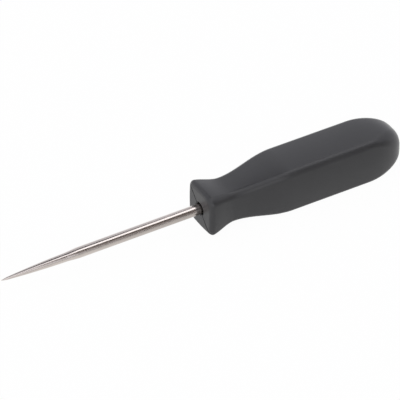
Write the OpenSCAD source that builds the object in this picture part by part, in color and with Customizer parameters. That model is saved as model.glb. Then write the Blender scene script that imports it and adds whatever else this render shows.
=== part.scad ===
// Straight pick: a plated steel shank, ground to a point, held between two moulded handle halves.
// X runs along the tool, from the point at -X to the handle's domed end at +X, and Z is up.
// The origin is on the shank's axis, where it leaves the handle's front face.

/* [Shank] */
// Diameter of the shank outside the handle
shank_d = 4; // [3:0.1:5]
// Length from the handle's front face to the tip
shank_l = 80.5; // [60:0.5:120]
// Length of the ground point
point_l = 30.5; // [20:0.5:45]
// Length of the steeper shoulder where the point meets the shank
shoulder_l = 4.5; // [2:0.5:8]
// How far the shoulder steps in from the shank's surface
shoulder_drop = 0.35; // [0.1:0.05:0.6]
// How far the long taper swells out from a straight cone
point_swell = 0.18; // [0:0.02:0.3]
// Length of the blunter nose at the tip
nose_l = 2.2; // [1:0.1:4]
// Diameter where the nose meets the long taper
nose_d = 1; // [0.6:0.1:1.4]
// Diameter of the flat at the tip
tip_d = 0.24; // [0.1:0.02:0.5]

/* [Tang] */
// Length of the shank inside the handle
tang_l = 52; // [46:1:58]
// How much thinner the tang is than the shank
tang_step = 0.4; // [0.35:0.05:0.8]
// Chamfer on the tang's end
tang_chamfer = 0.5; // [0.2:0.1:1]
// Distance from the front face to the middle of the wings
wing_x = 30; // [27:0.5:34]
// Length of the wings along the tang
wing_l = 9; // [5:0.5:12]
// How far each wing stands out from the tang
wing_reach = 1.55; // [0.8:0.05:2.5]
// Thickness that the tang is pinched to
wing_t = 1.8; // [1.2:0.1:2.4]
// Length of the slope at each end of the wings
wing_slope_l = 1.5; // [0.5:0.1:2.5]

/* [Handle outside] */
// Length of the handle
handle_l = 82.5; // [80:0.5:110]
// Width across the faces at the front
front_w = 17; // [14:0.1:20]
// Width across the faces at the neck
neck_w = 13.2; // [12:0.1:15]
// Distance from the front face to the neck
neck_x = 11; // [8:0.5:14]
// Width across the faces of the barrel
barrel_w = 19.1; // [16:0.1:24]
// Distance from the front face to where the barrel reaches its full width
barrel_x = 34; // [26:0.5:42]
// Length of the domed end
dome_l = 17.5; // [12:0.5:26]
// Fullness of the dome, where 2 is an ellipse and more is squarer
dome_power = 3; // [2:0.1:4]
// Radius of the crown on each face
crown_r = 55; // [40:1:150]
// Radius of the long corners on the seam, at the front
front_seam_r = 1.8; // [0.8:0.1:2.5]
// Radius of the long corners on the seam, along the barrel
barrel_seam_r = 2.2; // [1:0.1:4]
// Radius of the other long corners, at the front
front_corner_r = 3.5; // [1:0.1:4.5]
// Radius of the other long corners, along the neck and the barrel
barrel_corner_r = 2.7; // [1:0.1:4]
// How far the section turns from a square to a circle at the end of the dome
end_round = 0.65; // [0.3:0.05:0.8]
// Length over which it turns
end_round_l = 16; // [8:0.5:20]
// Radius of the rim round the front face
rim_r = 2; // [0.5:0.1:3]
// Half the width of the groove that the seam makes along the handle
groove = 0.2; // [0.1:0.05:0.4]
// Half the width of the seam's groove across the front face
face_groove = 0.3; // [0.1:0.05:0.5]
// Depth of the groove across the front face
face_groove_depth = 0.7; // [0.3:0.1:1]

/* [Handle inside] */
// Width of the gap round the shank in the front face
mouth_gap = 0.45; // [0.3:0.05:1]
// Depth of that gap
mouth_depth = 3; // [1:0.1:5]
// Chamfer round its edge
mouth_chamfer = 0.4; // [0.2:0.05:0.8]
// Wall between a face and the hollow behind it
wall = 2.6; // [1.6:0.1:3.5]
// Length of the solid block behind the front face
front_block_l = 14; // [10:0.5:18]
// Thickness of the block at each end of the wings
wing_block_t = 3; // [1.5:0.1:4]
// Length of the tang's end that the tail block holds
tail_seat_l = 5; // [3:0.5:7]
// Thickness of the tail block behind the tang's end
tail_stop_t = 2; // [1:0.1:4]
// Thickness of the block across the rear hollow, which carries the rear pegs
peg_block_t = 6; // [4:0.1:9]
// Thickness of the domed end
end_wall = 5; // [3:0.1:8]
// Diameter of the pegs on the seam
peg_d = 2.4; // [1.6:0.1:3]
// Length of the pegs
peg_l = 3; // [2:0.1:4]
// Chamfer on the pegs
peg_chamfer = 0.4; // [0.2:0.1:0.6]
// Plastic between the bottom of a socket and the face outside it, square to the seam
socket_skin = 1.5; // [1:0.1:2.5]

/* [Fits] */
// Gap round the tang and the wings in their seats
tang_gap = 0.05; // [0.02:0.01:0.15]
// Gap round and beyond each peg in its socket
peg_gap = 0.05; // [0.02:0.01:0.15]

/* [Resolution] */
// Rings along the front rim
rim_steps = 4; // [2:1:8]
// Rings along the neck and the barrel
body_steps = 36; // [16:1:60]
// Rings along the dome
dome_steps = 12; // [6:1:20]
// Points across each face
face_steps = 4; // [2:1:8]
// Points round each long corner
corner_steps = 6; // [2:2:12]
// Points along the ground point and along each hollow
curve_steps = 8; // [4:1:16]
// Sides of the round shapes
$fn = 96; // [32:8:128]

/* [Hidden] */
steel = [0.72, 0.69, 0.66];
black_plastic = [0.2, 0.2, 0.21];
seam_angle = 45;
overcut = 1;
shank_r = shank_d / 2;
tang_r = (shank_d - tang_step) / 2;
mouth_r = shank_r + mouth_gap;
taper_r = shank_r - shoulder_drop;
dome_x = handle_l - dome_l;
bore_end = tang_l + tang_gap;
rear_start = tang_l + tail_stop_t;
rear_end = handle_l - end_wall;
peg_block_x = (rear_start + rear_end) / 2;
peg_places = [wing_x, peg_block_x];
socket_r = peg_d / 2 + peg_gap;
socket_depth = peg_l + peg_gap;
hollows = [
    [front_block_l, wing_x - wing_l / 2 - wing_block_t],
    [wing_x + wing_l / 2 + wing_block_t, tang_l - tail_seat_l],
    [rear_start, peg_block_x - peg_block_t / 2],
    [peg_block_x + peg_block_t / 2, rear_end]
];

// Smooth step from 0 at the start to 1 at the end
function ramp(x, start, end) =
    let (u = min(max((x - start) / (end - start), 0), 1))
    u * u * (3 - 2 * u);

function mix(a, b, share) = a + (b - a) * share;

// Shape of the handle at a distance x from its front face
function dome_scale(x) =
    x <= dome_x ? 1 : pow(1 - pow((x - dome_x) / dome_l, dome_power), 1 / dome_power);
function rim_inset(x) = x >= rim_r ? 0 : rim_r - sqrt(pow(rim_r, 2) - pow(rim_r - x, 2));
function body_width(x) =
    x < neck_x ? mix(front_w, neck_w, ramp(x, 0, neck_x))
    : mix(neck_w, barrel_w, ramp(x, neck_x, barrel_x));
function half_width(x) = body_width(x) / 2 * dome_scale(x) - rim_inset(x);
function crown(x) = crown_r * dome_scale(x);
function hollow_radius(x) = half_width(x) - wall;

// Radius of a long corner, rounded off towards the end of the dome
function rounded_off(x, radius) =
    mix(dome_scale(x) * radius, half_width(x), end_round * ramp(x, handle_l - end_round_l, handle_l));
function seam_radius(x) =
    rounded_off(x, mix(front_seam_r, barrel_seam_r, ramp(x, neck_x, barrel_x)));
function middle_radius(x) =
    rounded_off(x, mix(front_corner_r, barrel_corner_r, ramp(x, 0, neck_x)));

// Distance from the axis to the centre of a long corner's arc, where that arc meets two crowned faces
function corner_centre(x, radius) =
    let (reach = crown(x) - radius, offset = crown(x) - half_width(x))
    (sqrt(2 * pow(reach, 2) - pow(offset, 2)) - offset) / sqrt(2);

// How far a crowned face turns from its middle to that arc
function face_turn(x, radius) = asin(corner_centre(x, radius) / sqrt(2) / (crown(x) - radius));

// Distance from the axis to a peg, as far out as its socket fits under the sloping face
function peg_offset(x) = sqrt(2) * half_width(x) - socket_depth - socket_r - socket_skin;

function arc(centre, radius, from, to, steps) =
    [for (i = [0:steps]) let (a = mix(from, to, i / steps)) centre + radius * [cos(a), sin(a)]];

// Half of the square section, from one seam corner over the middle corner to the other seam corner
function half_section(x) =
    let (
        seam_r = seam_radius(x),
        seam_y = corner_centre(x, seam_r),
        seam_turn = face_turn(x, seam_r),
        middle_r = middle_radius(x),
        middle_z = corner_centre(x, middle_r),
        middle_turn = face_turn(x, middle_r),
        face_r = crown(x),
        inset = half_width(x) - face_r,
        near_centre = inset * [cos(45), sin(45)],
        far_centre = inset * [cos(135), sin(135)],
        near_face = arc(near_centre, face_r, 45 - seam_turn, 45 + middle_turn, face_steps),
        far_face = arc(far_centre, face_r, 135 - middle_turn, 135 + seam_turn, face_steps),
        lip = min(groove, seam_r / 2),
        lip_angle = asin(lip / seam_r)
    )
    concat(
        [[seam_y + seam_r - lip, 0]],
        arc([seam_y, 0], seam_r, lip_angle, 45 - seam_turn, corner_steps / 2),
        [for (i = [1:face_steps - 1]) near_face[i]],
        arc([0, middle_z], middle_r, 45 + middle_turn, 135 - middle_turn, corner_steps),
        [for (i = [1:face_steps - 1]) far_face[i]],
        arc([-seam_y, 0], seam_r, 135 + seam_turn, 180 - lip_angle, corner_steps / 2),
        [[lip - seam_y - seam_r, 0]]
    );

function ring_places() = concat(
    [for (i = [0:rim_steps - 1]) rim_r * (1 - cos(90 * i / rim_steps))],
    [for (i = [0:body_steps]) mix(rim_r, dome_x, i / body_steps)],
    [for (i = [1:dome_steps - 1]) dome_x + dome_l * sin(90 * i / dome_steps)]
);

// The handle's outer form on one side of the seam, with the seam at z = 0
module outer_half() {
    places = ring_places();
    rings = [for (x = places) [for (p = half_section(x)) [x, p[0], p[1]]]];
    count = len(rings[0]);
    last = len(rings) - 1;
    tip = count * len(rings);
    points = concat([for (ring = rings) each ring], [[handle_l, 0, 0]]);
    front = [[for (j = [0:count - 1]) j]];
    sides = [
        for (i = [0:last - 1], j = [0:count - 1])
            let (a = i * count + j, b = i * count + (j + 1) % count)
            each [[a, a + count, b + count], [a, b + count, b]]
    ];
    end = [for (j = [0:count - 1]) [last * count + (j + 1) % count, last * count + j, tip]];
    polyhedron(points = points, faces = concat(front, sides, end), convexity = 10);
}

// A solid of revolution about the tool's axis, from points given as [radius, distance along X]
module turned(points) {
    rotate([0, 90, 0]) rotate_extrude() polygon(points);
}

module bar(radius, from, to) {
    translate([from, 0, 0]) rotate([0, 90, 0]) cylinder(r = radius, h = to - from);
}

function shank_profile() =
    let (
        taper_start = nose_l - shank_l,
        taper_end = point_l - shoulder_l - shank_l
    )
    concat(
        [[0, -shank_l], [tip_d / 2, -shank_l]],
        [
            for (i = [0:curve_steps])
                let (u = i / curve_steps)
                [mix(nose_d / 2, taper_r, u) + 4 * point_swell * u * (1 - u), mix(taper_start, taper_end, u)]
        ],
        [
            [shank_r, point_l - shank_l],
            [shank_r, 0],
            [tang_r, 0],
            [tang_r, tang_l - tang_chamfer],
            [tang_r - tang_chamfer, tang_l],
            [0, tang_l]
        ]
    );

// Plan of the wings, in the plane of the seam
module wing_outline(gap) {
    end = wing_l / 2 + gap;
    side = tang_r + wing_reach + gap;
    flat = wing_l / 2 - wing_slope_l;
    polygon([
        [-end, -tang_r], [-flat, -side], [flat, -side], [end, -tang_r],
        [end, tang_r], [flat, side], [-flat, side], [-end, tang_r]
    ]);
}

module wing_plate(gap) {
    translate([wing_x, 0, 0]) linear_extrude(wing_t + 2 * gap, center = true) wing_outline(gap);
}

// What the press takes off the round tang between the wings, on one side
module pinch() {
    flat = wing_l / 2 - wing_slope_l;
    top = tang_r + overcut;
    translate([wing_x, 0, 0]) rotate([90, 0, 0]) linear_extrude(shank_d + overcut, center = true)
        polygon([[-flat, wing_t / 2], [flat, wing_t / 2], [wing_l / 2, top], [-wing_l / 2, top]]);
}

module pick_shank() {
    color(steel) rotate([seam_angle, 0, 0]) union() {
        difference() {
            turned(shank_profile());
            pinch();
            mirror([0, 0, 1]) pinch();
        }
        wing_plate(0);
    }
}

module hollow(from, to) {
    if (to > from)
        turned(concat(
            [[0, from]],
            [for (i = [0:curve_steps]) let (x = mix(from, to, i / curve_steps)) [hollow_radius(x), x]],
            [[0, to]]
        ));
}

module peg(x) {
    translate([x, peg_offset(x), -peg_l]) union() {
        cylinder(d1 = peg_d - 2 * peg_chamfer, d2 = peg_d, h = peg_chamfer);
        translate([0, 0, peg_chamfer]) cylinder(d = peg_d, h = peg_l - peg_chamfer + overcut);
    }
}

module socket(x) {
    translate([x, -peg_offset(x), -overcut]) cylinder(r = socket_r, h = socket_depth + overcut);
}

// The gap round the shank in the front face
module mouth() {
    wide_r = mouth_r + mouth_chamfer + overcut;
    turned([
        [0, -overcut], [wide_r, -overcut], [mouth_r, mouth_chamfer],
        [mouth_r, mouth_depth], [0, mouth_depth]
    ]);
}

// The seam's groove across the front face
module front_groove() {
    rotate([90, 0, 0]) linear_extrude(2 * front_w, center = true)
        polygon([[-face_groove_depth, 0], [0, -face_groove], [face_groove_depth, 0], [0, face_groove]]);
}

// One moulding on the +z side of the seam: pegs on the +y land and sockets on the other
module handle_half() {
    difference() {
        union() {
            outer_half();
            for (x = peg_places) peg(x);
        }
        bar(tang_r + tang_gap, -overcut, bore_end);
        mouth();
        for (h = hollows) hollow(h[0], h[1]);
        wing_plate(tang_gap);
        for (x = peg_places) socket(x);
        front_groove();
    }
}

module upper_handle_half() {
    color(black_plastic) rotate([seam_angle, 0, 0]) handle_half();
}

module lower_handle_half() {
    color(black_plastic) rotate([seam_angle + 180, 0, 0]) handle_half();
}

pick_shank();
upper_handle_half();
lower_handle_half();
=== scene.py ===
"""Looks of the straight pick: its moulded handle halves, its plated shank, and a plain pale studio."""

import math

import bmesh
import bpy
from mathutils import Matrix, Vector


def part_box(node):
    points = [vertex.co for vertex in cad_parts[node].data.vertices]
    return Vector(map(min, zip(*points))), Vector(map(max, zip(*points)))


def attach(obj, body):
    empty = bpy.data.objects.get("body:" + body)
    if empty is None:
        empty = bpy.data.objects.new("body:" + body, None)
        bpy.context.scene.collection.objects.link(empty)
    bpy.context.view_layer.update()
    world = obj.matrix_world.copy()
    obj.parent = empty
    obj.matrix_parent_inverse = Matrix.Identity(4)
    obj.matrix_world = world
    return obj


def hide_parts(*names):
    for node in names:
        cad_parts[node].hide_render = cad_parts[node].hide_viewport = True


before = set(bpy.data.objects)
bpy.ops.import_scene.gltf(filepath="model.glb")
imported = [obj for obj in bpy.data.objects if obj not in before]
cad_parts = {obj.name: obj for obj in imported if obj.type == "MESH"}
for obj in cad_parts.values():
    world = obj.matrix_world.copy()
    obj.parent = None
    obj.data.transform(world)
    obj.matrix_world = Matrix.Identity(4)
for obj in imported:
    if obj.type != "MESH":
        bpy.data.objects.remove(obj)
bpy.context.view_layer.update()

MM = 0.001

# Sizes read from the frame
SHANK_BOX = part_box("pick_shank")
HALF_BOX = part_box("upper_handle_half")
SHANK_L = -SHANK_BOX[0].x
TANG_L = SHANK_BOX[1].x
HANDLE_L = HALF_BOX[1].x
BARREL_W = 2 * HALF_BOX[1].z
FLOOR_Z = HALF_BOX[0].z

# Shank
SHANK_R = 2 * MM
POINT_L = 30.5 * MM
SHOULDER_L = 4.5 * MM
SHOULDER_DROP = 0.35 * MM
POINT_SWELL = 0.18 * MM
NOSE_L = 2.2 * MM
NOSE_R = 0.5 * MM
TIP_R = 0.12 * MM
TANG_STEP = 0.4 * MM
TANG_R = SHANK_R - TANG_STEP / 2
TANG_CHAMFER = 0.5 * MM
WING_X = 30 * MM
WING_L = 9 * MM
WING_REACH = 1.55 * MM
WING_T = 1.8 * MM
WING_SLOPE_L = 1.5 * MM

# Handle outside
FRONT_W = 17 * MM
NECK_W = 13.2 * MM
NECK_X = 11 * MM
BARREL_X = 34 * MM
DOME_L = 17.5 * MM
DOME_POWER = 3
DOME_X = HANDLE_L - DOME_L
END_ROUND = 0.65
END_ROUND_L = 16 * MM
CROWN_R = 55 * MM
FRONT_CORNER_R = 3.5 * MM
BARREL_CORNER_R = 2.7 * MM
FRONT_SEAM_R = 1.8 * MM
BARREL_SEAM_R = 2.2 * MM
RIM_R = 2 * MM
GROOVE = 0.2 * MM
FACE_GROOVE = 0.3 * MM
FACE_GROOVE_DEPTH = 0.7 * MM
SEAM_ANGLE = math.radians(45)

# Handle inside
MOUTH_GAP = 0.45 * MM
MOUTH_R = SHANK_R + MOUTH_GAP
MOUTH_DEPTH = 3 * MM
MOUTH_CHAMFER = 0.4 * MM
WALL = 2.6 * MM
FRONT_BLOCK_L = 14 * MM
WING_BLOCK_T = 3 * MM
TAIL_SEAT_L = 5 * MM
TAIL_STOP_T = 2 * MM
PEG_BLOCK_T = 6 * MM
END_WALL = 5 * MM
PEG_R = 1.2 * MM
PEG_L = 3 * MM
PEG_CHAMFER = 0.4 * MM
SOCKET_SKIN = 1.5 * MM
FIT_GAP = 0.05 * MM
SOCKET_R = PEG_R + FIT_GAP
SOCKET_DEPTH = PEG_L + FIT_GAP
REAR_START = TANG_L + TAIL_STOP_T
REAR_END = HANDLE_L - END_WALL
PEG_BLOCK_X = (REAR_START + REAR_END) / 2
PEG_PLACES = [WING_X, PEG_BLOCK_X]
HOLLOWS = [
    (FRONT_BLOCK_L, WING_X - WING_L / 2 - WING_BLOCK_T),
    (WING_X + WING_L / 2 + WING_BLOCK_T, TANG_L - TAIL_SEAT_L),
    (REAR_START, PEG_BLOCK_X - PEG_BLOCK_T / 2),
    (PEG_BLOCK_X + PEG_BLOCK_T / 2, REAR_END),
]

# Fineness of the meshes
OVERCUT = 1 * MM
RIM_STEPS = 10
BODY_STEPS = 110
DOME_STEPS = 36
FACE_STEPS = 12
CORNER_STEPS = 14
TAPER_STEPS = 40
HOLLOW_STEPS = 10
ROUND_STEPS = 128
INNER_STEPS = 64
SHARP_ANGLE = math.radians(30)
WELD = 0.001 * MM


# Shape of the handle at a distance x from its front face
def mix(a, b, share):
    return a + (b - a) * share


def ramp(x, start, end):
    u = min(max((x - start) / (end - start), 0), 1)
    return u * u * (3 - 2 * u)


def dome_scale(x):
    if x <= DOME_X:
        return 1
    return (1 - ((x - DOME_X) / DOME_L) ** DOME_POWER) ** (1 / DOME_POWER)


def rim_inset(x):
    if x >= RIM_R:
        return 0
    return RIM_R - math.sqrt(RIM_R ** 2 - (RIM_R - x) ** 2)


def half_width(x):
    if x < NECK_X:
        width = mix(FRONT_W, NECK_W, ramp(x, 0, NECK_X))
    else:
        width = mix(NECK_W, BARREL_W, ramp(x, NECK_X, BARREL_X))
    return width / 2 * dome_scale(x) - rim_inset(x)


def seam_radius(x):
    return mix(FRONT_SEAM_R, BARREL_SEAM_R, ramp(x, NECK_X, BARREL_X))


def middle_radius(x):
    return mix(FRONT_CORNER_R, BARREL_CORNER_R, ramp(x, 0, NECK_X))


def corner(x, body_radius):
    """A long corner's radius, its centre's distance from the axis, and the face's turn up to it."""
    end_share = END_ROUND * ramp(x, HANDLE_L - END_ROUND_L, HANDLE_L)
    radius = mix(dome_scale(x) * body_radius, half_width(x), end_share)
    crown = CROWN_R * dome_scale(x)
    reach = crown - radius
    offset = crown - half_width(x)
    centre = (math.sqrt(2 * reach ** 2 - offset ** 2) - offset) / math.sqrt(2)
    turn = math.asin(centre / math.sqrt(2) / reach)
    return radius, centre, turn


def peg_offset(x):
    return math.sqrt(2) * half_width(x) - SOCKET_DEPTH - SOCKET_R - SOCKET_SKIN


def arc(centre, radius, start, end, steps):
    angles = [mix(start, end, i / steps) for i in range(steps + 1)]
    return [(centre[0] + radius * math.cos(a), centre[1] + radius * math.sin(a)) for a in angles]


def half_section(x):
    """Half of the square section, from one seam corner over the middle corner to the other."""
    seam_r, seam_y, seam_turn = corner(x, seam_radius(x))
    middle_r, middle_z, middle_turn = corner(x, middle_radius(x))
    crown = CROWN_R * dome_scale(x)
    inset = (half_width(x) - crown) / math.sqrt(2)
    lip = min(GROOVE, seam_r / 2)
    lip_angle = math.asin(lip / seam_r)
    near = math.pi / 4
    far = 3 * math.pi / 4
    near_face = arc((inset, inset), crown, near - seam_turn, near + middle_turn, FACE_STEPS)
    far_face = arc((-inset, inset), crown, far - middle_turn, far + seam_turn, FACE_STEPS)
    return [
        (seam_y + seam_r - lip, 0),
        *arc((seam_y, 0), seam_r, lip_angle, near - seam_turn, CORNER_STEPS // 2),
        *near_face[1:-1],
        *arc((0, middle_z), middle_r, near + middle_turn, far - middle_turn, CORNER_STEPS),
        *far_face[1:-1],
        *arc((-seam_y, 0), seam_r, far + seam_turn, math.pi - lip_angle, CORNER_STEPS // 2),
        (lip - seam_y - seam_r, 0),
    ]


def ring_places():
    quarter = math.pi / 2
    rim = [RIM_R * (1 - math.cos(quarter * i / RIM_STEPS)) for i in range(RIM_STEPS)]
    body = [mix(RIM_R, DOME_X, i / BODY_STEPS) for i in range(BODY_STEPS + 1)]
    dome = [DOME_X + DOME_L * math.sin(quarter * i / DOME_STEPS) for i in range(1, DOME_STEPS)]
    return rim + body + dome


# Mesh helpers
def new_piece(name, points, faces):
    mesh = bpy.data.meshes.new(name)
    mesh.from_pydata(points, [], faces)
    shape = bmesh.new()
    shape.from_mesh(mesh)
    bmesh.ops.recalc_face_normals(shape, faces=shape.faces)
    shape.to_mesh(mesh)
    shape.free()
    piece = bpy.data.objects.new(name, mesh)
    bpy.context.scene.collection.objects.link(piece)
    return piece


def turned(name, profile, steps):
    """A solid of revolution about X, from points (radius, x) that start and end on the axis."""
    points = [(profile[0][1], 0, 0)]
    for radius, x in profile[1:-1]:
        for k in range(steps):
            angle = 2 * math.pi * k / steps
            points.append((x, radius * math.cos(angle), radius * math.sin(angle)))
    points.append((profile[-1][1], 0, 0))
    last_ring = 1 + steps * (len(profile) - 3)
    end = len(points) - 1
    faces = []
    for k in range(steps):
        after = (k + 1) % steps
        faces.append((0, 1 + k, 1 + after))
        faces.append((end, last_ring + after, last_ring + k))
    for ring in range(len(profile) - 3):
        here = 1 + ring * steps
        for k in range(steps):
            after = (k + 1) % steps
            faces.append((here + k, here + steps + k, here + steps + after, here + after))
    return new_piece(name, points, faces)


def prism(name, outline, depth):
    """A plate from an outline in X and Y, centred on z = 0."""
    count = len(outline)
    points = [(x, y, -depth / 2) for x, y in outline] + [(x, y, depth / 2) for x, y in outline]
    faces = [tuple(range(count)), tuple(range(count, 2 * count))]
    for k in range(count):
        after = (k + 1) % count
        faces.append((k, after, after + count, k + count))
    return new_piece(name, points, faces)


def combine(piece, tool, operation):
    """Joins the tool to the piece or cuts it away, and deletes the tool."""
    modifier = piece.modifiers.new(operation, "BOOLEAN")
    modifier.operation = operation
    modifier.solver = "EXACT"
    modifier.object = tool
    bpy.context.view_layer.objects.active = piece
    bpy.ops.object.modifier_apply(modifier=modifier.name)
    bpy.data.objects.remove(tool)


def weld(piece):
    """Merges the points that the cuts leave on top of each other, so that the surface is closed."""
    shape = bmesh.new()
    shape.from_mesh(piece.data)
    bmesh.ops.remove_doubles(shape, verts=shape.verts, dist=WELD)
    bmesh.ops.dissolve_degenerate(shape, edges=shape.edges, dist=WELD)
    shape.to_mesh(piece.data)
    shape.free()


def smooth(piece):
    piece.data.shade_smooth()
    piece.data.set_sharp_from_angle(angle=SHARP_ANGLE)
    normals = piece.modifiers.new("face_normals", "WEIGHTED_NORMAL")
    normals.keep_sharp = True


# Handle
def outer_half():
    """The handle's outer form on one side of the seam, with the seam at z = 0."""
    rings = [[(x, y, z) for y, z in half_section(x)] for x in ring_places()]
    count = len(rings[0])
    points = [point for ring in rings for point in ring] + [(HANDLE_L, 0, 0)]
    tip = len(points) - 1
    last = (len(rings) - 1) * count
    faces = [tuple(range(count))]
    for start in range(0, last, count):
        for k in range(count):
            after = (k + 1) % count
            faces.append((start + k, start + count + k, start + count + after, start + after))
    for k in range(count):
        faces.append((last + (k + 1) % count, last + k, tip))
    return new_piece("upper_half", points, faces)


def bore():
    wide_r = MOUTH_R + MOUTH_CHAMFER + OVERCUT
    bore_r = TANG_R + FIT_GAP
    bore_end = TANG_L + FIT_GAP
    profile = [
        (0, -OVERCUT),
        (wide_r, -OVERCUT),
        (MOUTH_R, MOUTH_CHAMFER),
        (MOUTH_R, MOUTH_DEPTH),
        (bore_r, MOUTH_DEPTH),
        (bore_r, bore_end),
        (0, bore_end),
    ]
    return turned("bore", profile, INNER_STEPS)


def hollow(start, end):
    places = [mix(start, end, i / HOLLOW_STEPS) for i in range(HOLLOW_STEPS + 1)]
    walls = [(half_width(x) - WALL, x) for x in places]
    return turned("hollow", [(0, start), *walls, (0, end)], INNER_STEPS)


def upright(rod, x, y):
    """Stands a rod made along X on end at a place on the seam."""
    rod.data.transform(Matrix.Translation((x, y, 0)) @ Matrix.Rotation(-math.pi / 2, 4, "Y"))
    return rod


def peg(x):
    profile = [
        (0, -PEG_L),
        (PEG_R - PEG_CHAMFER, -PEG_L),
        (PEG_R, PEG_CHAMFER - PEG_L),
        (PEG_R, OVERCUT),
        (0, OVERCUT),
    ]
    return upright(turned("peg", profile, INNER_STEPS), x, peg_offset(x))


def socket(x):
    profile = [(0, -OVERCUT), (SOCKET_R, -OVERCUT), (SOCKET_R, SOCKET_DEPTH), (0, SOCKET_DEPTH)]
    return upright(turned("socket", profile, INNER_STEPS), x, -peg_offset(x))


def wing_plate(gap):
    end = WING_L / 2 + gap
    flat = WING_L / 2 - WING_SLOPE_L
    side = TANG_R + WING_REACH + gap
    one_side = [(-end, -TANG_R), (-flat, -side), (flat, -side), (end, -TANG_R)]
    outline = one_side + [(-x, -y) for x, y in one_side]
    plate = prism("wings", outline, WING_T + 2 * gap)
    plate.data.transform(Matrix.Translation((WING_X, 0, 0)))
    return plate


def front_groove():
    """The seam's groove across the front face."""
    outline = [(-FACE_GROOVE_DEPTH, 0), (0, -FACE_GROOVE), (FACE_GROOVE_DEPTH, 0), (0, FACE_GROOVE)]
    past_both_corners = 2 * FRONT_W
    bar = prism("groove", outline, past_both_corners)
    bar.data.transform(Matrix.Rotation(math.pi / 2, 4, "X"))
    return bar


def handle_half():
    """One moulding on the +z side of the seam: pegs on the +y land and sockets on the other."""
    half = outer_half()
    for x in PEG_PLACES:
        combine(half, peg(x), "UNION")
    combine(half, bore(), "DIFFERENCE")
    for start, end in HOLLOWS:
        combine(half, hollow(start, end), "DIFFERENCE")
    combine(half, wing_plate(FIT_GAP), "DIFFERENCE")
    for x in PEG_PLACES:
        combine(half, socket(x), "DIFFERENCE")
    combine(half, front_groove(), "DIFFERENCE")
    weld(half)
    return half


def handle_halves():
    upper = handle_half()
    lower = upper.copy()
    lower.data = upper.data.copy()
    lower.name = "lower_half"
    bpy.context.scene.collection.objects.link(lower)
    upper.data.transform(Matrix.Rotation(SEAM_ANGLE, 4, "X"))
    lower.data.transform(Matrix.Rotation(SEAM_ANGLE + math.pi, 4, "X"))
    return upper, lower


# Shank
def shank_profile():
    taper_start = NOSE_L - SHANK_L
    taper_end = POINT_L - SHOULDER_L - SHANK_L
    taper_r = SHANK_R - SHOULDER_DROP
    taper = []
    for i in range(TAPER_STEPS + 1):
        u = i / TAPER_STEPS
        swell = 4 * POINT_SWELL * u * (1 - u)
        taper.append((mix(NOSE_R, taper_r, u) + swell, mix(taper_start, taper_end, u)))
    return [
        (0, -SHANK_L),
        (TIP_R, -SHANK_L),
        *taper,
        (SHANK_R, POINT_L - SHANK_L),
        (SHANK_R, 0),
        (TANG_R, 0),
        (TANG_R, TANG_L - TANG_CHAMFER),
        (TANG_R - TANG_CHAMFER, TANG_L),
        (0, TANG_L),
    ]


def pinch(side):
    """What the press takes off the round tang between the wings, above it or below it."""
    flat = WING_L / 2 - WING_SLOPE_L
    low = side * WING_T / 2
    high = side * (TANG_R + OVERCUT)
    outline = [(-flat, low), (flat, low), (WING_L / 2, high), (-WING_L / 2, high)]
    past_both_sides = 4 * SHANK_R
    wedge = prism("pinch", outline, past_both_sides)
    wedge.data.transform(Matrix.Translation((WING_X, 0, 0)) @ Matrix.Rotation(math.pi / 2, 4, "X"))
    return wedge


def pick_shank():
    shank = turned("shank", shank_profile(), ROUND_STEPS)
    for side in (1, -1):
        combine(shank, pinch(side), "DIFFERENCE")
    combine(shank, wing_plate(0), "UNION")
    shank.data.transform(Matrix.Rotation(SEAM_ANGLE, 4, "X"))
    return shank


# Plastic: satin black, with a fine moulded grain
PLASTIC_DARK = (0.028, 0.028, 0.029)
PLASTIC_LIGHT = (0.032, 0.032, 0.033)
PLASTIC_ROUGHNESS = (0.33, 0.39)
PLASTIC_CLOUD_SCALE = 90
GRAIN_SCALE = 2600
GRAIN_DETAIL = 2
GRAIN_DEPTH = 0.05 * MM
GRAIN_STRENGTH = 0.25

# Steel: a warm bright plate, with fine lines drawn along the shank
STEEL_DARK = (0.525, 0.478, 0.446)
STEEL_LIGHT = (0.57, 0.519, 0.485)
STEEL_ROUGHNESS = (0.12, 0.18)
STEEL_CLOUD_SCALE = 200
LINE_STRETCH = (0.02, 1, 1)
LINE_SCALE = 3500
LINE_DETAIL = 3
LINE_DEPTH = 0.004 * MM
LINE_STRENGTH = 0.1

# Both: how fine the clouds of colour are, and where most values of a noise lie
CLOUD_DETAIL = 4
NOISE_RANGE = (0.3, 0.7)


# Materials
def new_material(name):
    material = bpy.data.materials.new(name)
    material.use_nodes = True
    return material, material.node_tree.nodes, material.node_tree.links


def noise(nodes, links, vector, scale, detail):
    node = nodes.new("ShaderNodeTexNoise")
    node.inputs["Scale"].default_value = scale
    node.inputs["Detail"].default_value = detail
    links.new(vector, node.inputs["Vector"])
    return node.outputs["Fac"]


def colour_ramp(nodes, links, factor, stops):
    """A colour that changes with a factor, from stops of a place and a colour."""
    node = nodes.new("ShaderNodeValToRGB")
    elements = node.color_ramp.elements
    while len(elements) < len(stops):
        elements.new(1)
    for element, (place, colour) in zip(elements, stops):
        element.position = place
        element.color = (*colour, 1)
    links.new(factor, node.inputs["Fac"])
    return node.outputs["Color"]


def tint(nodes, links, factor, dark, light):
    """A colour that drifts with a noise from a dark shade to a light one."""
    stops = list(zip(NOISE_RANGE, (dark, light)))
    return colour_ramp(nodes, links, factor, stops)


def map_range(nodes, links, value, source, target):
    """A value taken from one range to another, each given by its two ends."""
    node = nodes.new("ShaderNodeMapRange")
    node.inputs["From Min"].default_value = source[0]
    node.inputs["From Max"].default_value = source[1]
    node.inputs["To Min"].default_value = target[0]
    node.inputs["To Max"].default_value = target[1]
    links.new(value, node.inputs["Value"])
    return node.outputs["Result"]


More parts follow.
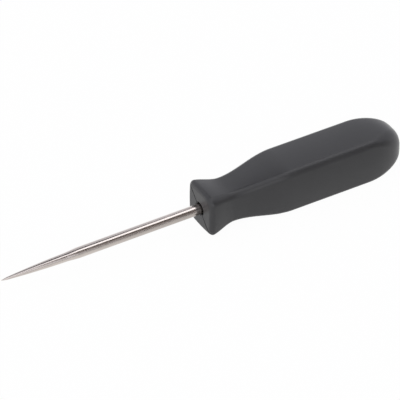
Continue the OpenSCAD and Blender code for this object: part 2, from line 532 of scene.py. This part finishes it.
def bump(nodes, links, height, depth, strength):
    node = nodes.new("ShaderNodeBump")
    node.inputs["Strength"].default_value = strength
    node.inputs["Distance"].default_value = depth
    links.new(height, node.inputs["Height"])
    return node.outputs["Normal"]


def black_plastic():
    material, nodes, links = new_material("black_plastic")
    shader = nodes["Principled BSDF"]
    place = nodes.new("ShaderNodeTexCoord").outputs["Object"]
    cloud = noise(nodes, links, place, PLASTIC_CLOUD_SCALE, CLOUD_DETAIL)
    grain = noise(nodes, links, place, GRAIN_SCALE, GRAIN_DETAIL)
    colour = tint(nodes, links, cloud, PLASTIC_DARK, PLASTIC_LIGHT)
    roughness = map_range(nodes, links, cloud, NOISE_RANGE, PLASTIC_ROUGHNESS)
    relief = bump(nodes, links, grain, GRAIN_DEPTH, GRAIN_STRENGTH)
    links.new(colour, shader.inputs["Base Color"])
    links.new(roughness, shader.inputs["Roughness"])
    links.new(relief, shader.inputs["Normal"])
    return material


def plated_steel():
    material, nodes, links = new_material("plated_steel")
    shader = nodes["Principled BSDF"]
    place = nodes.new("ShaderNodeTexCoord").outputs["Object"]
    drawn = nodes.new("ShaderNodeMapping")
    drawn.inputs["Scale"].default_value = LINE_STRETCH
    links.new(place, drawn.inputs["Vector"])
    lines = noise(nodes, links, drawn.outputs["Vector"], LINE_SCALE, LINE_DETAIL)
    cloud = noise(nodes, links, place, STEEL_CLOUD_SCALE, CLOUD_DETAIL)
    colour = tint(nodes, links, cloud, STEEL_DARK, STEEL_LIGHT)
    roughness = map_range(nodes, links, lines, NOISE_RANGE, STEEL_ROUGHNESS)
    relief = bump(nodes, links, lines, LINE_DEPTH, LINE_STRENGTH)
    links.new(colour, shader.inputs["Base Color"])
    links.new(roughness, shader.inputs["Roughness"])
    links.new(relief, shader.inputs["Normal"])
    shader.inputs["Metallic"].default_value = 1
    return material


# Stage: a pale floor in a white tent, with soft panels and cards, in metres and degrees
def direction(azimuth, elevation):
    """A unit vector from degrees round from +X and up from the floor."""
    round_angle = math.radians(azimuth)
    up_angle = math.radians(elevation)
    level = math.cos(up_angle)
    return Vector((level * math.cos(round_angle), level * math.sin(round_angle), math.sin(up_angle)))


UPRIGHT = (0, 0, 1)

# Floor: its paint, and how much of what the camera sees is plain white
FLOOR_SIZE = 30
FLOOR_WHITE = 0.9
BACKGROUND_SHARE = 0.97

# Its glow in reflections is painted light and shade, dim in front and brighter behind, to the left and
# to the back right; it is a sum of fades: an azimuth, the stretch along it and the glow at its ends
FLOOR_PAINTED_FADES = [
    (90, (-150 * MM, 15 * MM), (0.3, 0.9)),
    (0, (-45 * MM, -5 * MM), (0.24, 0)),
    (55, (28 * MM, 50 * MM), (0, 0.4)),
]

# Tent: its brightness at the foot, on the sides and at the top, and how high the sides are darkest
TENT_FOOT = (1.24, 1.24, 1.30)
TENT_SIDES = (0.72, 0.72, 0.77)
TENT_TOP = (1.17, 1.17, 1.25)
TENT_SIDES_HEIGHT = 0.49

# Soft panels: a strip over the handle, a wide dim one by the camera and a small one low in front
STRIP_PLACE = Vector((0.445, -0.15, 1.1))
STRIP_AXIS = (0.28, 0.96, 0)
STRIP_SIZE = (1.5, 0.19)
STRIP_STRENGTH = 1.15
WIDE_PLACE = 1.5 * direction(240, 32)
WIDE_SIZE = (2.2, 2.8)
WIDE_STRENGTH = 0.36
LOW_PLACE = direction(262, 22)
LOW_SIZE = (0.45, 0.34)
LOW_STRENGTH = 0.5

# Cards: a tall one and a paler one behind its edge, the camera's opening, one low down and one overhead
CARD_GREY = (0.21, 0.185, 0.163)
CARD_PALE = (0.43, 0.395, 0.37)
CARD_BLACK = (0.03, 0.03, 0.03)
GAP_PLACE = direction(308, 30.5)
GAP_SIZE = (1.14, 0.41)
GAP_EDGE_PLACE = 1.02 * direction(294, 30.5)
GAP_EDGE_SIZE = (1.14, 0.2)
OPENING_PLACE = direction(248, 40)
OPENING_SIZE = (0.45, 0.45)
FOOT_PLACE = direction(323, 7)
FOOT_SIZE = (0.5, 0.5)
FLAG_PLACE = direction(62, 67)
FLAG_SIZE = (0.44, 0.44)


def blend_shaders(nodes, links, share, first, second):
    node = nodes.new("ShaderNodeMixShader")
    links.new(share, node.inputs["Fac"])
    links.new(first, node.inputs[1])
    links.new(second, node.inputs[2])
    return node.outputs["Shader"]


def join(nodes, links, operation, first, second):
    node = nodes.new("ShaderNodeMath")
    node.operation = operation
    links.new(first, node.inputs[0])
    links.new(second, node.inputs[1])
    return node.outputs["Value"]


def distance_along(nodes, links, azimuth):
    """How far a point of the floor lies from the origin, measured along an azimuth in degrees."""
    node = nodes.new("ShaderNodeVectorMath")
    node.operation = "DOT_PRODUCT"
    node.inputs[1].default_value = direction(azimuth, 0)
    links.new(nodes.new("ShaderNodeTexCoord").outputs["Object"], node.inputs[0])
    return node.outputs["Value"]


def painted_floor_light(nodes, links):
    """The floor's painted light and shade in reflections, as the sum of its fades."""
    fades = []
    for azimuth, stretch, glow in FLOOR_PAINTED_FADES:
        distance = distance_along(nodes, links, azimuth)
        fades.append(map_range(nodes, links, distance, stretch, glow))
    total = fades[0]
    for fade in fades[1:]:
        total = join(nodes, links, "ADD", total, fade)
    return total


def floor_paint():
    """White with a share of real shade where it is looked at, and its own glow of painted light and
    shade in reflections.
    """
    material, nodes, links = new_material("floor_paint")
    paint = nodes.new("ShaderNodeBsdfDiffuse")
    paint.inputs["Color"].default_value = (FLOOR_WHITE, FLOOR_WHITE, FLOOR_WHITE, 1)
    white = nodes.new("ShaderNodeEmission")
    # An emission seen only in reflections: painted light and shade of the floor
    painted_glow = nodes.new("ShaderNodeEmission")
    links.new(painted_floor_light(nodes, links), painted_glow.inputs["Strength"])
    rays = nodes.new("ShaderNodeLightPath").outputs
    seen = join(nodes, links, "MAXIMUM", rays["Is Camera Ray"], rays["Is Transmission Ray"])
    share = map_range(nodes, links, seen, (0, 1), (0, BACKGROUND_SHARE))
    looked_at = blend_shaders(nodes, links, share, paint.outputs["BSDF"], white.outputs["Emission"])
    painted_reflection = painted_glow.outputs["Emission"]
    surface = blend_shaders(nodes, links, rays["Is Glossy Ray"], looked_at, painted_reflection)
    links.new(surface, nodes["Material Output"].inputs["Surface"])
    return material


def new_sheet(name, length, width):
    """A flat rectangle at z = 0, centred on the origin."""
    x = length / 2
    y = width / 2
    return new_piece(name, [(-x, -y, 0), (x, -y, 0), (x, y, 0), (-x, y, 0)], [(0, 1, 2, 3)])


def add_floor():
    floor = new_sheet("floor", FLOOR_SIZE, FLOOR_SIZE)
    floor.data.transform(Matrix.Translation((0, 0, FLOOR_Z)))
    floor.data.materials.append(floor_paint())


def add_world():
    world = bpy.data.worlds.new("tent")
    bpy.context.scene.world = world
    world.use_nodes = True
    nodes = world.node_tree.nodes
    links = world.node_tree.links
    ray = nodes.new("ShaderNodeSeparateXYZ")
    links.new(nodes.new("ShaderNodeTexCoord").outputs["Generated"], ray.inputs["Vector"])
    stops = ((0, TENT_FOOT), (TENT_SIDES_HEIGHT, TENT_SIDES), (1, TENT_TOP))
    sky = colour_ramp(nodes, links, ray.outputs["Z"], stops)
    links.new(sky, nodes["Background"].inputs["Color"])


def turned_to_origin(place, length_axis):
    """Where a flat thing stands at a place, facing the origin, its own X lying along an axis."""
    away = place.normalized()
    across = away.cross(Vector(length_axis)).normalized()
    turn = Matrix((across.cross(away), across, away)).transposed()
    return Matrix.Translation(place) @ turn.to_4x4()


def add_softbox(name, place, length_axis, size, strength):
    """A rectangular lamp whose brightness doesn't change with its size."""
    length, width = size
    light = bpy.data.lights.new(name, "AREA")
    light.shape = "RECTANGLE"
    light.size = length
    light.size_y = width
    light.energy = strength * math.pi * length * width
    lamp = bpy.data.objects.new(name, light)
    lamp.matrix_world = turned_to_origin(place, length_axis)
    lamp.visible_camera = False
    bpy.context.scene.collection.objects.link(lamp)


def add_softboxes():
    add_softbox("over", STRIP_PLACE, STRIP_AXIS, STRIP_SIZE, STRIP_STRENGTH)
    add_softbox("front", WIDE_PLACE, UPRIGHT, WIDE_SIZE, WIDE_STRENGTH)
    add_softbox("low_front", LOW_PLACE, UPRIGHT, LOW_SIZE, LOW_STRENGTH)


def add_card(name, place, size, colour):
    """A matt card that faces the origin, as upright as it can be, and that the camera doesn't see."""
    card = new_sheet(name, *size)
    material, nodes, _ = new_material(name)
    shader = nodes["Principled BSDF"]
    shader.inputs["Base Color"].default_value = (*colour, 1)
    shader.inputs["Roughness"].default_value = 1
    shader.inputs["Specular IOR Level"].default_value = 0
    card.data.materials.append(material)
    card.matrix_world = turned_to_origin(place, UPRIGHT)
    card.visible_camera = False


def add_cards():
    add_card("gap", GAP_PLACE, GAP_SIZE, CARD_GREY)
    add_card("gap_edge", GAP_EDGE_PLACE, GAP_EDGE_SIZE, CARD_PALE)
    add_card("opening", OPENING_PLACE, OPENING_SIZE, CARD_BLACK)
    add_card("low", FOOT_PLACE, FOOT_SIZE, CARD_GREY)
    add_card("flag", FLAG_PLACE, FLAG_SIZE, CARD_BLACK)


# Camera, as fitted to the photograph: where the origin falls in it, the scale there and the view
FRAME_PIXELS = 400
ORIGIN_PIXEL = (199.46, 208.84)
PIXELS_PER_M = 2788
CAMERA_DISTANCE = 1.54
CAMERA_AZIMUTH = 240.12
CAMERA_ELEVATION = 37.87
CAMERA_ROLL = math.radians(-0.44)
SENSOR_W = 36
CLIP_END = 100


def add_camera():
    data = bpy.data.cameras.new("camera")
    data.sensor_width = SENSOR_W
    data.lens = PIXELS_PER_M * CAMERA_DISTANCE * SENSOR_W / FRAME_PIXELS
    data.clip_end = CLIP_END
    away = direction(CAMERA_AZIMUTH, CAMERA_ELEVATION)
    level = direction(CAMERA_AZIMUTH + 90, 0)
    right = Matrix.Rotation(CAMERA_ROLL, 3, away) @ level
    up = away.cross(right)
    middle = FRAME_PIXELS / 2
    aim = right * (middle - ORIGIN_PIXEL[0]) / PIXELS_PER_M
    aim += up * (ORIGIN_PIXEL[1] - middle) / PIXELS_PER_M
    back = (away * CAMERA_DISTANCE - aim).normalized()
    across = up.cross(back).normalized()
    turn = Matrix((across, back.cross(across), back)).transposed()
    camera = bpy.data.objects.new("camera", data)
    camera.matrix_world = Matrix.Translation(away * CAMERA_DISTANCE) @ turn.to_4x4()
    bpy.context.scene.collection.objects.link(camera)
    bpy.context.scene.camera = camera


# Putting the pieces and the stage in place
def dress(piece, node, material):
    piece.data.materials.clear()
    piece.data.materials.append(material)
    smooth(piece)
    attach(piece, "root")
    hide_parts(node)


upper_half, lower_half = handle_halves()
plastic = black_plastic()
dress(upper_half, "upper_handle_half", plastic)
dress(lower_half, "lower_handle_half", plastic)
dress(pick_shank(), "pick_shank", plated_steel())

add_floor()
add_world()
add_softboxes()
add_cards()
add_camera()
bpy.context.scene.view_settings.view_transform = "Standard"
